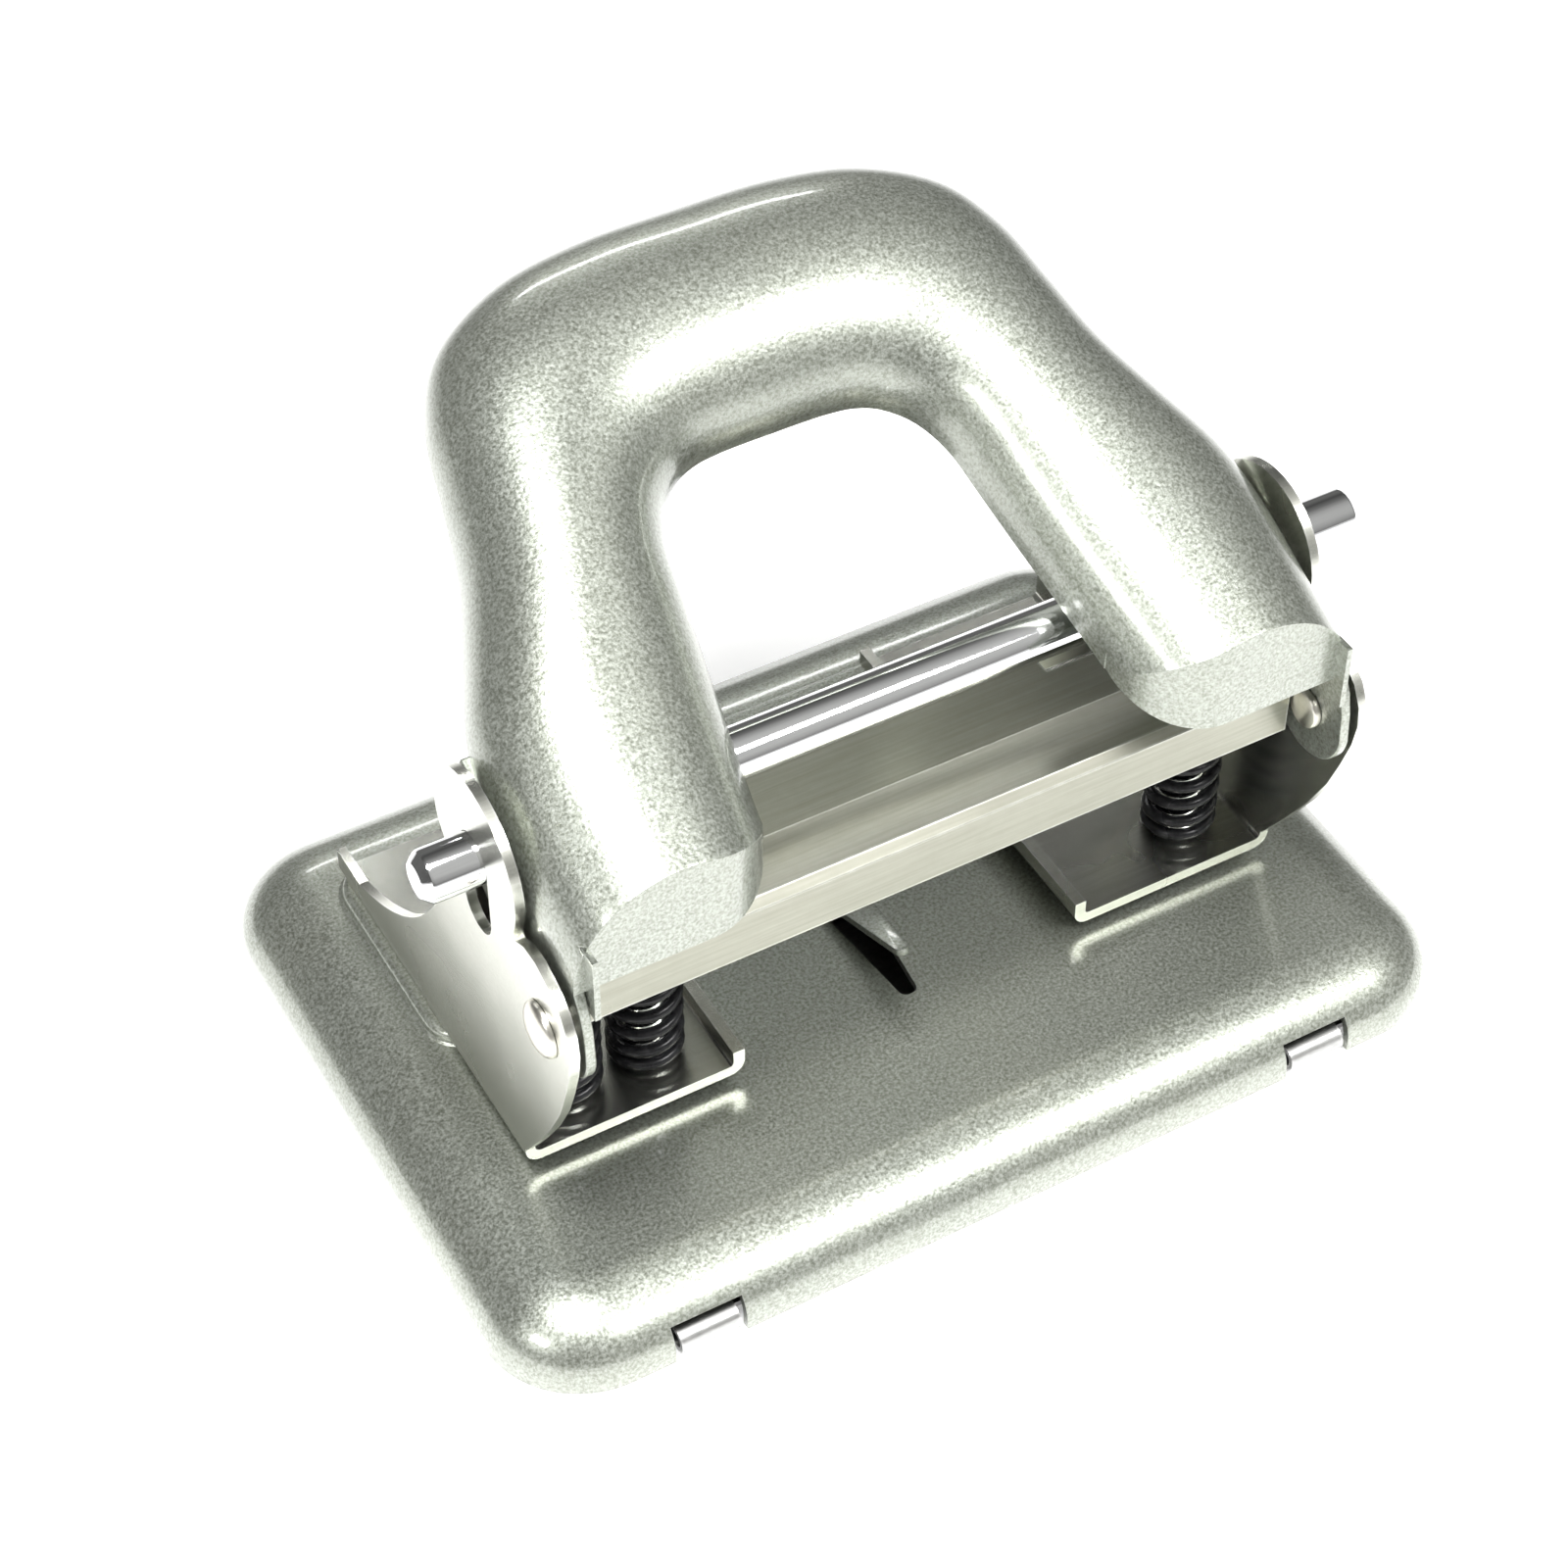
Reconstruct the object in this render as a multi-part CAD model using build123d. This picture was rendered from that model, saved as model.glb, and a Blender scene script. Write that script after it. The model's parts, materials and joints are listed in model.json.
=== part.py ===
from build123d import *
import os
from math import atan2, cos, degrees, hypot, radians, sin

# Desk hole punch in pressed sheet steel, with an 80 mm or a 70 mm hole pitch.
# Millimetres. Z is up, X runs along the drive rod, and paper goes in from the -Y side.
# The origin is on the desk, under the middle of the base.

# ---- driving dimensions -------------------------------------------------------
base_length = 120.0
base_width = 85.0
base_height = 8.0
base_corner = 11.8
base_edge = 6.8
sheet = 1.0
plateau_half = 49.5
plateau_front = 0.8
plateau_rear = 32.5
plateau_top = 9.5
pointer_x = 0.8
pointer_tip = -16.6
pointer_short = 1.8
pointer_rise = 15.0

ear_outer = 48.0
ear_lobe = 9.2
bracket_sheet = 1.5
plate_front = -18.2
plate_rear = 30.0
plate_inner = 21.4
flange_top = 13.0

pin_y = -11.25
pin_radius = 2.7
pin_xs = {"left_outer": -40.0, "left_inner": -30.0, "right": 40.0}
pin_guide_clearance = 0.06
pin_slot_half = 1.65
die_radius = 4.4
die_height = 2.6
foot_rivet_x = 31.0
foot_rivet_ys = (8.5, 23.0)
foot_rivet_radius = 1.6
foot_rivet_head = 3.0
punch_travel = 7.3

rod_z = 50.7
rod_radius = 2.9
rod_left = -54.4
rod_right = 58.8
rod_shift = 5.1
rod_neck_radius = 1.5

pivot_y = -25.3
pivot_z = 39.0
pivot_radius = 2.0
pivot_clearance = 0.03
rivet_head_radius = 3.2
press_angle = 22.2

handle_tilt = 26.4
handle_front_y = -29.2
handle_front_z = 46.7
handle_depth = 11.0
handle_half = 46.2
handle_round = 9.0
handle_sheet = 1.2
leg_inner = 21.2
leg_corner = 9.0
leg_start = -14.0
window_half = 16.7
window_end = 47.5
window_corner = 10.0
tongue_lobe = 8.4
tongue_foot = 6.9
rod_slot_play = 0.4

bar_front = -23.2
bar_bottom = 34.2
bar_ridge = 41.5
bar_floor = 40.2
bar_half = 44.0
bar_sheet = 1.2

lug_centre = 38.9
lug_width = 7.0
lug_gap = 0.75
lug_slot_top = 5.4
hinge_y = -40.95
hinge_z = 1.7
hinge_bar_radius = 0.85

spring_mean_radius = 3.7
spring_wire = 1.4
spring_turns = 10
collar_z = 37.0
collar_radius = 4.4

# ---- sizes that follow --------------------------------------------------------
plate_top = plateau_top + bracket_sheet
ear_inner = ear_outer - bracket_sheet
pin_bottom = plateau_top + 0.1
pin_top = rod_z - rod_radius - 0.05
tilt = radians(handle_tilt)
turn = radians(press_angle)
rim_origin = Vector(0, handle_front_y, handle_front_z)
upslope = Vector(0, cos(tilt), sin(tilt))
outward = Vector(0, -sin(tilt), cos(tilt))
reach_y = pin_y - pivot_y
reach_z = rod_z - punch_travel - pivot_z
slot_end_y = pivot_y + reach_y * cos(turn) - reach_z * sin(turn)
slot_end_z = pivot_z + reach_y * sin(turn) + reach_z * cos(turn)
seated = (Align.CENTER, Align.CENTER, Align.MIN)


# ---- small helpers ------------------------------------------------------------
def block(x0, x1, y0, y1, z0, z1):
    """A box between two corners."""
    middle = ((x0 + x1) / 2, (y0 + y1) / 2, (z0 + z1) / 2)
    return Pos(*middle) * Box(x1 - x0, y1 - y0, z1 - z0)


def post(x, y, z0, z1, radius):
    """A cylinder standing along Z."""
    return Pos(x, y, (z0 + z1) / 2) * Cylinder(radius, z1 - z0)


def bar_x(x0, x1, y, z, radius):
    """A cylinder lying along X."""
    return Pos((x0 + x1) / 2, y, z) * Rot(0, 90, 0) * Cylinder(radius, x1 - x0)


def side_plate(sketch, x0, x1):
    """A flat plate: a (y, z) sketch made solid between two X values."""
    plane = Plane(origin=(x0, 0, 0), x_dir=(0, 1, 0), z_dir=(1, 0, 0))
    return extrude(plane * sketch, amount=x1 - x0)


def polygon(points):
    """A filled outline with straight sides."""
    return make_face(Polyline(*points, close=True))


def disc(centre, radius):
    """A filled circle."""
    return Pos(*centre) * Circle(radius)


def stadium(start, end, radius):
    """A filled slot shape between two centres."""
    dy, dz = end[0] - start[0], end[1] - start[1]
    middle = ((start[0] + end[0]) / 2, (start[1] + end[1]) / 2)
    return Pos(*middle) * Rot(0, 0, degrees(atan2(dz, dy))) * SlotCenterToCenter(hypot(dy, dz), 2 * radius)


def mirrored(shape):
    """The same piece on the other side of the middle plane."""
    return mirror(shape, about=Plane.YZ)


# ---- base ---------------------------------------------------------------------
def rounded_slab(half_x, half_y, height, corner, edge):
    """A slab with rounded corners and a rounded top edge, standing on Z = 0."""
    slab = extrude(RectangleRounded(2 * half_x, 2 * half_y, corner), amount=height)
    return fillet(slab.faces().sort_by(Axis.Z)[-1].edges(), edge)


def plateau(shrink):
    """The raised rear of the base, whose front edge stops the paper."""
    depth = plateau_rear - plateau_front
    middle = (plateau_rear + plateau_front) / 2
    outline = RectangleRounded(2 * (plateau_half - shrink), depth - 2 * shrink, 5.0 - shrink)
    top = plateau_top - shrink
    low = base_height - 3.0
    raised = Pos(0, middle, low) * extrude(outline, amount=top - low)
    return fillet(raised.faces().sort_by(Axis.Z)[-1].edges(), 1.1)


def pointer_outline(inset, tip):
    """The centre pointer seen from above, wide at its root and narrow at its rounded tip."""
    near = plateau_front + 0.4
    left = [(pointer_x - 2.9 + inset, near), (pointer_x - 1.0 + inset, tip)]
    right = [(pointer_x + 1.0 - inset, tip), (pointer_x + 2.9 - inset, near)]
    outline = polygon(left + right)
    return fillet(outline.vertices().group_by(Axis.Y)[0], 0.5)


def base_tray():
    """Pressed tray, open underneath, with the die holes, the pointer and the hinge bars."""
    tray = rounded_slab(base_length / 2, base_width / 2, base_height, base_corner, base_edge)
    tray += plateau(0)
    inside = rounded_slab(
        base_length / 2 - sheet,
        base_width / 2 - sheet,
        base_height - sheet,
        base_corner - sheet,
        base_edge - sheet,
    )
    tray -= inside + plateau(sheet)
    for x in pin_xs.values():
        tray -= post(x, pin_y, 4.0, base_height + 1, die_radius)
    for side in (-1, 1):
        for y in foot_rivet_ys:
            tray -= post(side * foot_rivet_x, y, 4.0, plateau_top + 1, foot_rivet_radius)
    tray -= Pos(0, 0, base_height - 2) * extrude(pointer_outline(0, pointer_tip), amount=3)
    for side in (-1, 1):
        centre = side * lug_centre
        half = lug_width / 2 + lug_gap
        tray -= block(centre - half, centre + half, -base_width / 2 - 1, -38.0, -1, lug_slot_top)
        tray += bar_x(centre - half - 1.2, centre + half + 1.2, hinge_y, hinge_z, hinge_bar_radius)
        for end in (-1, 1):
            x = centre + end * (half + 0.6)
            tray += block(x - 0.6, x + 0.6, -42.0, -40.1, 0.6, 2.8)
    flap = extrude(pointer_outline(0.2, pointer_tip + pointer_short), amount=0.8)
    flap = Pos(0, -plateau_front, 0) * flap
    return tray + Pos(0, plateau_front, plateau_top - 0.85) * Rot(-pointer_rise, 0, 0) * flap


def die_bush(x):
    """A hardened die ring, flush with the base's top."""
    bush = post(x, pin_y, base_height - die_height, base_height, die_radius - 0.02)
    return bush - post(x, pin_y, 0, 20, pin_radius + 0.08)


def bottom_cover():
    """Chip cover: a shallow pan that hangs on two curled lugs at the front."""
    low, top, wall_top = 0.15, 0.95, 1.8
    front, rear = -39.5, base_width / 2 - sheet - 0.4
    half = base_length / 2 - sheet - 0.5
    outline = Rectangle(2 * half, rear - front)
    outline = fillet(outline.vertices(), 10.4)
    pan = Pos(0, (front + rear) / 2, low) * extrude(outline, amount=wall_top - low)
    hollow = offset(outline, amount=-0.8)
    pan -= Pos(0, (front + rear) / 2, top) * extrude(hollow, amount=3.0)
    pan -= block(-lug_centre - 8, lug_centre + 8, front - 1, front + 4.0, top, 5.0)
    for side in (-1, 1):
        x0 = side * lug_centre - lug_width / 2
        x1 = side * lug_centre + lug_width / 2
        curl = bar_x(x0, x1, hinge_y, hinge_z, 1.55) - bar_x(x0, x1, hinge_y, hinge_z, 0.95)
        gap = block(x0 - 1, x1 + 1, hinge_y, hinge_y + 3, hinge_z - 0.9, hinge_z + 0.9)
        pan += curl - gap
        pan += block(x0, x1, hinge_y, front + 0.5, low, low + 0.6)
    return pan


# ---- brackets -----------------------------------------------------------------
def ear_sketch():
    """Side view (y, z) of an ear: rod lobe on top, rivet lobe in front, wide foot."""
    foot = Polyline((-2.3, 47.5), (-2.3, 52.0), (-20.7, 52.0), (-20.5, 45.8))
    lobe = [(-20.5, 45.8), (-29.8, 47.8), (-33.3, 42.4), (-30.6, 33.6), (-25.0, 23.2), (plate_front, 13.4)]
    front = Spline(*lobe)
    base = Polyline((plate_front, 13.4), (plate_front, plateau_top), (plate_rear, plateau_top), (28.8, 11.6))
    rear = ThreePointArc((28.8, 11.6), (8.4, 27.4), (-2.3, 47.5))
    ear = make_face([*foot.edges(), front, *base.edges(), rear])
    ear += disc((pin_y - 0.25, 51.8), ear_lobe)
    ear -= stadium((pin_y, rod_z - punch_travel - 0.05), (pin_y, rod_z + 0.05), rod_radius + 0.1)
    return ear - disc((pivot_y, pivot_z), pivot_radius + pivot_clearance)


def right_bracket():
    """Bent bracket: ear, foot plate and a turned-up inner flange."""
    ear = side_plate(ear_sketch(), ear_inner, ear_outer)
    plate = block(plate_inner, ear_outer, plate_front, plate_rear, plateau_top, plate_top)
    flange_outer = plate_inner + bracket_sheet
    flange = block(plate_inner, flange_outer, plate_front + 1.5, plate_rear - 2, plateau_top, flange_top)
    bracket = ear + plate + flange
    low_edges = bracket.edges().filter_by(Axis.Y).group_by(Axis.Z)[0]
    bracket = fillet(low_edges, 1.1)
    bracket -= post(pin_xs["right"], pin_y, 0, 20, pin_radius + pin_guide_clearance)
    for y in foot_rivet_ys:
        bracket -= post(foot_rivet_x, y, 0, 20, foot_rivet_radius)
    return bracket


def left_bracket():
    """Mirror of the right bracket, with a second pin hole for the 70 mm pitch."""
    bracket = mirrored(right_bracket())
    return bracket - post(pin_xs["left_inner"], pin_y, 0, 20, pin_radius + pin_guide_clearance)


def foot_rivets(side):
    """The two rivets that hold one bracket's foot to the base."""
    rivets = Part()
    for y in foot_rivet_ys:
        x = side * foot_rivet_x
        rivet = post(x, y, plateau_top - sheet - 0.7, plate_top + 0.3, foot_rivet_radius - 0.01)
        rivet += post(x, y, plate_top, plate_top + 0.9, foot_rivet_head)
        rivet += post(x, y, plateau_top - sheet - 0.8, plateau_top - sheet, foot_rivet_head - 0.2)
        rivets += rivet
    return rivets


def crossbar():
    """Ribbed stretcher between the ears, which also guides the tops of the pins."""
    top = [(bar_front, bar_bottom), (bar_front, bar_ridge - 1.0), (bar_front + 1.0, bar_ridge),
           (-15.2, bar_ridge), (-14.4, bar_floor), (-1.0, bar_floor), (0.0, bar_floor - 1.0), (0.0, 33.0)]
    under = [(-bar_sheet, 33.0), (-bar_sheet, bar_floor - 1.5), (-1.6, bar_floor - bar_sheet),
             (-14.9, bar_floor - bar_sheet), (-15.7, bar_ridge - bar_sheet),
             (bar_front + 1.6, bar_ridge - bar_sheet), (bar_front + bar_sheet, bar_ridge - 1.6),
             (bar_front + bar_sheet, bar_bottom)]
    bar = side_plate(polygon(top + under), -bar_half, bar_half)
    for x in pin_xs.values():
        bar -= post(x, pin_y, 30, 45, pin_radius + pin_guide_clearance)
    bar -= block(-26.0, -17.5, -7.6, -2.4, 35, 45)
    bar -= block(22.5, 31.0, -7.6, -2.4, 35, 45)
    for side in (-1, 1):
        near, far = sorted((side * 38.0, side * ear_inner))
        leg = block(near, far, -bar_sheet, 0.0, 25.0, 33.5)
        near, far = sorted((side * (ear_inner - bar_sheet), side * ear_inner))
        bar += leg + block(near, far, -bar_sheet, 4.0, 25.0, 31.5)
    return bar


# ---- punches and rod ----------------------------------------------------------
def punch_pin(x):
    """Hardened pin; its forked top lets the rod's thin neck pass without driving it."""
    pin = post(x, pin_y, pin_bottom, pin_top, pin_radius)
    slot_floor = pin_top - punch_travel - 1.2
    pin -= block(x - 5, x + 5, pin_y - pin_slot_half, pin_y + pin_slot_half, slot_floor, pin_top + 1)
    return pin


def collar(x):
    """Ring fixed on the pin, which its spring pushes up."""
    return post(x, pin_y, collar_z, collar_z + 1.0, collar_radius) - post(x, pin_y, 0, 60, pin_radius + 0.01)


def punch_spring(x):
    """Coil spring between the foot plate and the pin's collar."""
    low = plate_top + spring_wire / 2 + 0.05
    high = collar_z - spring_wire / 2 - 0.05
    path = Pos(x, pin_y, low) * Helix((high - low) / spring_turns, high - low, spring_mean_radius)
    start = path @ 0
    wire = Plane(origin=start, z_dir=path % 0) * Circle(spring_wire / 2)
    return sweep(wire, path=path, is_frenet=True)


def drive_rod():
    """Polished rod through the ears; sliding it sideways picks the left-hand punch."""
    rod = bar_x(rod_left, rod_right, pin_y, rod_z, rod_radius)
    rod = chamfer(rod.edges().filter_by(GeomType.CIRCLE), 0.7)
    side = pin_radius + 0.2
    neck_start = pin_xs["left_outer"] + rod_shift - side
    neck_end = pin_xs["left_inner"] + side
    ring = bar_x(neck_start, neck_end, pin_y, rod_z, rod_radius + 1)
    return rod - (ring - bar_x(neck_start, neck_end, pin_y, rod_z, rod_neck_radius))


# ---- handle -------------------------------------------------------------------
def handle_plane():
    """The handle's own plane: X across, Y up its slope, Z out of its top."""
    return Plane(origin=rim_origin, x_dir=(1, 0, 0), z_dir=outward)


def handle_outline(inset):
    """Plan view of the U-shaped handle, whose legs run on past the front to be trimmed there."""
    curve = [(handle_half, 18.0), (43.0, 32.5), (37.3, 47.0), (34.6, 60.0), (26.5, 70.3), (12.0, 74.3)]
    lean = [(1.0, 0.0), (0.93, 0.37), (0.95, 0.31), (0.97, 0.24), (0.5, 0.87), (0.0, 1.0)]
    right = [(x - inset * nx, y - inset * ny) for (x, y), (nx, ny) in zip(curve, lean)]
    left = [(-x, y) for x, y in right]
    rim = Spline(*right, tangents=[(0, 1), (-1, 0)])
    rim_left = Spline(*left, tangents=[(0, 1), (1, 0)])
    grip = Line(right[-1], left[-1])
    half = handle_half - inset
    foot = Polyline((-half, 18.0), (-half, leg_start), (half, leg_start), (half, 18.0))
    shape = make_face([*foot.edges(), rim, grip, rim_left])
    low, high, end = leg_inner + inset, window_half + inset, window_end + inset
    window = polygon([(low, 2 * leg_start), (low, 5.0), (high, end),
                      (-high, end), (-low, 5.0), (-low, 2 * leg_start)])
    return shape - fillet(window.vertices().group_by(Axis.Y)[-1], window_corner + inset)


def front_trim(inset):
    """Upright prism that squares off the legs' front ends and rounds their inner corners."""
    front = handle_front_y + inset
    half, inner = handle_half - inset, leg_inner + inset
    leg = Pos((half + inner) / 2, front + 20) * Rectangle(half - inner, 40)
    corners = leg.vertices().group_by(Axis.Y)[0].sort_by(Axis.X)
    leg = fillet(corners[0], leg_corner - inset)
    rest = Pos(0, front + 50) * Rectangle(120, 70)
    plan = leg + mirror(leg, about=Plane.YZ) + rest
    return Pos(0, 0, handle_front_z - 30) * extrude(plan, amount=90)


def handle_body(inset):
    """Solid under the handle's skin, set in on every side but the open one: half a tube in section."""
    body = extrude(handle_plane() * handle_outline(inset), amount=handle_depth - inset)
    body = fillet([e for e in body.edges() if is_crown_edge(e)], handle_round - inset)
    return body & front_trim(inset)


def is_crown_edge(edge):
    """True for the long edges round the top of the handle, not for its square front ends."""
    points = [edge @ t for t in (0.0, 0.5, 1.0)]
    heights = [(p - rim_origin).dot(outward) for p in points]
    along = [(p - rim_origin).dot(upslope) for p in points]
    return min(heights) > 2.0 and max(along) > leg_start + 1.0


def handle_tongue():
    """Flat ear of the handle: it hangs on the rivet and holds the rod in a slanted slot."""
    shape = polygon([(pivot_y - 6.0, pivot_z - 2.5), (handle_front_y, handle_front_z + 3.0),
                     (-16.0, 56.5), (-1.5, 63.0), (-2.2, 47.2), (-8.0, 42.8), (-18.6, 36.9)])
    shape += disc((pivot_y, pivot_z), tongue_foot)
    shape += disc((pin_y + 1.0, rod_z - 0.6), tongue_lobe)
    shape -= stadium((pin_y, rod_z), (slot_end_y, slot_end_z), rod_radius + rod_slot_play)
    shape -= disc((pivot_y, pivot_z), pivot_radius + pivot_clearance)
    return side_plate(shape, handle_half - handle_sheet, handle_half)


def handle():
    """Pressed channel handle, open below, with a flat tongue on each side."""
    body = handle_body(0) - handle_body(handle_sheet)
    tongue = handle_tongue()
    return body + tongue + mirrored(tongue)


def pivot_rivet(side):
    """Rivet through ear and tongue: domed head outside, small peened end inside."""
    inner = handle_half - handle_sheet
    shank = bar_x(inner - 0.1, ear_outer + 0.1, pivot_y, pivot_z, pivot_radius)
    head = Cylinder(rivet_head_radius, 1.3, align=seated)
    head = Pos(ear_outer + 0.05, pivot_y, pivot_z) * Rot(0, 90, 0) * head
    head = fillet(head.edges().sort_by(Axis.X)[-1], 1.1)
    peen = bar_x(inner - 0.9, inner - 0.06, pivot_y, pivot_z, 2.3)
    rivet = shank + head + peen
    return rivet if side > 0 else mirrored(rivet)


pieces = {
    "base_tray": base_tray(),
    "bottom_cover": bottom_cover(),
    "left_bracket": left_bracket(),
    "right_bracket": right_bracket(),
    "crossbar": crossbar(),
    "drive_rod": drive_rod(),
    "handle": handle(),
    "pivot_rivet_left": pivot_rivet(-1),
    "pivot_rivet_right": pivot_rivet(1),
    "foot_rivets_left": foot_rivets(-1),
    "foot_rivets_right": foot_rivets(1),
}
for name, x in pin_xs.items():
    pieces["punch_pin_" + name] = punch_pin(x)
    pieces["punch_spring_" + name] = punch_spring(x)
    pieces["spring_collar_" + name] = collar(x)
    pieces["die_bush_" + name] = die_bush(x)

os.makedirs("parts", exist_ok=True)
for name, shape in pieces.items():
    export_step(shape, "parts/" + name + ".step")
    box = shape.bounding_box()
    print(name, round(shape.volume, 1), len(shape.solids()), box.min, box.max)
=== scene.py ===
# %% [markdown]
# # A desk hole punch
# A hole punch is a short press. A painted handle turns on two rivets, pushes a polished rod down, and the rod
# pushes the punch pins through the paper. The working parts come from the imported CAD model, which gives every
# size and every hinge. This lesson adds what a real one shows: rounded sheet metal, springs with closed ends,
# speckled paint, worn edges and soft light.

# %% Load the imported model
import bpy, bmesh, json, math
from mathutils import Matrix, Vector


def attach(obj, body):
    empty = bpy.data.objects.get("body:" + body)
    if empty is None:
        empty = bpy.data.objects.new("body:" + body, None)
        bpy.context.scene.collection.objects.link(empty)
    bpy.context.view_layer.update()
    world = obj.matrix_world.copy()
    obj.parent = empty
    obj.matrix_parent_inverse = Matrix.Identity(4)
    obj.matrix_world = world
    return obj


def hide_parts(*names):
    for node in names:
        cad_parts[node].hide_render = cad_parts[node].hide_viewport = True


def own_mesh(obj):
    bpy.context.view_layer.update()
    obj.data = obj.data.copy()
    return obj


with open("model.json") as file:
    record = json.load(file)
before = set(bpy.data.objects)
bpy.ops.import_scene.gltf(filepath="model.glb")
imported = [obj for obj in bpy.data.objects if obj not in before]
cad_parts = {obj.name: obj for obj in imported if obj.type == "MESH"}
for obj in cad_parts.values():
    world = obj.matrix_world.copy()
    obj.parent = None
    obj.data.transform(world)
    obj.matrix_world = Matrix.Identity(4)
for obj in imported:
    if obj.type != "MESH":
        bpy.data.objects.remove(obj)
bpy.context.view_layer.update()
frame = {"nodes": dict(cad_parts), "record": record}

# %% [markdown]
# ## Camera
# The camera looks down at 45 degrees from the front left, with a long lens so that the base hardly narrows
# towards the back. A target point and two angles are easier to read and change than a rotation.

# %% Camera
MM = 0.001
target = Vector((-1.21, 8.8, 20.0)) * MM
turn, rise, distance = math.radians(-29.53), math.radians(45.43), 0.3864
away = Vector((math.sin(turn) * math.cos(rise), -math.cos(turn) * math.cos(rise), math.sin(rise)))
lens = bpy.data.cameras.new("camera")
lens.lens, lens.sensor_width = 77.76, 36
camera = bpy.data.objects.new("camera", lens)
bpy.context.collection.objects.link(camera)
camera.location = target + away * distance
camera.rotation_euler = (-away).to_track_quat("-Z", "Y").to_euler()
bpy.context.scene.camera = camera
bpy.context.scene.view_settings.view_transform = "Standard"
print("camera height in mm:", round(camera.location.z / MM))

# %% [markdown]
# ## Light and floor
# Bare metal has no colour of its own: it shows what stands around it. So the room is bright in front and
# above, and darker behind, which gives the paint its shaded flanks and the rod its dark bands. The front
# panel lights the front of the grip, and the top panel draws the white streaks along the crown of both legs.
# A weak fill at the left and a narrow strip behind add the thin lines. The floor is plain, almost white and
# faintly glowing, so that it stays white around the soft shadow.

# %% World: bright towards the front and the top
world = bpy.data.worlds.new("studio")
bpy.context.scene.world = world
world.use_nodes = True
sky = world.node_tree
sky_out = sky.nodes["Background"]
sky_out.inputs["Strength"].default_value = 0.6
sky_place = sky.nodes.new("ShaderNodeTexCoord")
sky_side = sky.nodes.new("ShaderNodeVectorMath")
sky_side.operation = "DOT_PRODUCT"
sky_side.inputs[1].default_value = (0.25, -0.55, 0.72)
sky_ramp = sky.nodes.new("ShaderNodeValToRGB")
sky.links.new(sky_place.outputs["Generated"], sky_side.inputs[0])
sky.links.new(sky_side.outputs["Value"], sky_ramp.inputs["Fac"])
sky.links.new(sky_ramp.outputs["Color"], sky_out.inputs["Color"])
sky_greys = [(0.0, 0.24), (0.22, 0.12), (0.5, 0.3), (0.85, 0.95)]  # place on the ramp, brightness
for step, (place, grey) in enumerate(sky_greys):
    stop = sky_ramp.color_ramp.elements[step] if step < 2 else sky_ramp.color_ramp.elements.new(place)
    stop.position = place
    stop.color = (grey, grey, grey * 0.97, 1)
print("sky steps:", len(sky_ramp.color_ramp.elements))


# %% Area lights
def area_light(name, where, aim, size, power):
    """A rectangular light at a place in mm, turned towards another."""
    lamp = bpy.data.lights.new(name, "AREA")
    lamp.shape = "RECTANGLE"
    lamp.size, lamp.size_y = size[0] * MM, size[1] * MM
    lamp.energy = power
    thing = bpy.data.objects.new(name, lamp)
    bpy.context.collection.objects.link(thing)
    thing.location = Vector(where) * MM
    thing.rotation_euler = (Vector(aim) * MM - thing.location).to_track_quat("-Z", "Y").to_euler()


area_light("front_panel", (150, -265, 400), (0, 0, 40), (230, 120), 1.7)
area_light("top_panel", (-130, -95, 490), (0, 0, 40), (150, 150), 3.1)
area_light("left_fill", (-480, -160, 330), (0, 0, 30), (160, 120), 1.0)
area_light("back_strip", (160, 520, 380), (0, 0, 40), (300, 24), 0.5)

# %% Floor
floor_mesh = bpy.data.meshes.new("floor")
floor_bm = bmesh.new()
floor_half, floor_gap = 3.0, 0.0001  # metres; the gap keeps the floor just under the base
bmesh.ops.create_grid(floor_bm, x_segments=1, y_segments=1, size=floor_half)
floor_bm.to_mesh(floor_mesh)
floor_bm.free()
floor = bpy.data.objects.new("floor", floor_mesh)
bpy.context.collection.objects.link(floor)
floor.location.z = -floor_gap
paper_white = bpy.data.materials.new("paper_white")
paper_white.use_nodes = True
floor_shader = paper_white.node_tree.nodes["Principled BSDF"]
floor_shader.inputs["Base Color"].default_value = (0.93, 0.93, 0.93, 1)
floor_shader.inputs["Roughness"].default_value = 0.8
floor_shader.inputs["Emission Color"].default_value = (1, 1, 1, 1)
floor_shader.inputs["Emission Strength"].default_value = 0.34
floor_mesh.materials.append(paper_white)
print("floor width in m:", 2 * floor_half)

# %% [markdown]
# ## Shared effects
# Real finishes are layered. Three effects turn up in more than one material, so each is a node group, made
# once: *fleck* is the speckle of hammered paint and of dusty metal, *grain* is the fine lines left by rolling
# or polishing, and *worn_edge* finds the edges where fingers and tools have rubbed. A group only puts out
# masks and heights. The shader that uses them stays in its own material.


# %% A helper for node groups
def group(name, inputs, outputs):
    """An empty shader group with float inputs and outputs, and its two end nodes."""
    tree = bpy.data.node_groups.new(name, "ShaderNodeTree")
    for label, value in inputs:
        socket = tree.interface.new_socket(label, in_out="INPUT", socket_type="NodeSocketFloat")
        socket.default_value = value
    for label in outputs:
        tree.interface.new_socket(label, in_out="OUTPUT", socket_type="NodeSocketFloat")
    return tree, tree.nodes.new("NodeGroupInput"), tree.nodes.new("NodeGroupOutput")


def math_node(tree, operation, first, second=None, clamp=False):
    """A Math node; each operand is a number or another node's output."""
    node = tree.nodes.new("ShaderNodeMath")
    node.operation, node.use_clamp = operation, clamp
    for socket, value in zip(node.inputs, (first, second)):
        if isinstance(value, (int, float)):
            socket.default_value = value
        elif value is not None:
            tree.links.new(value, socket)
    return node.outputs[0]


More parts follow.
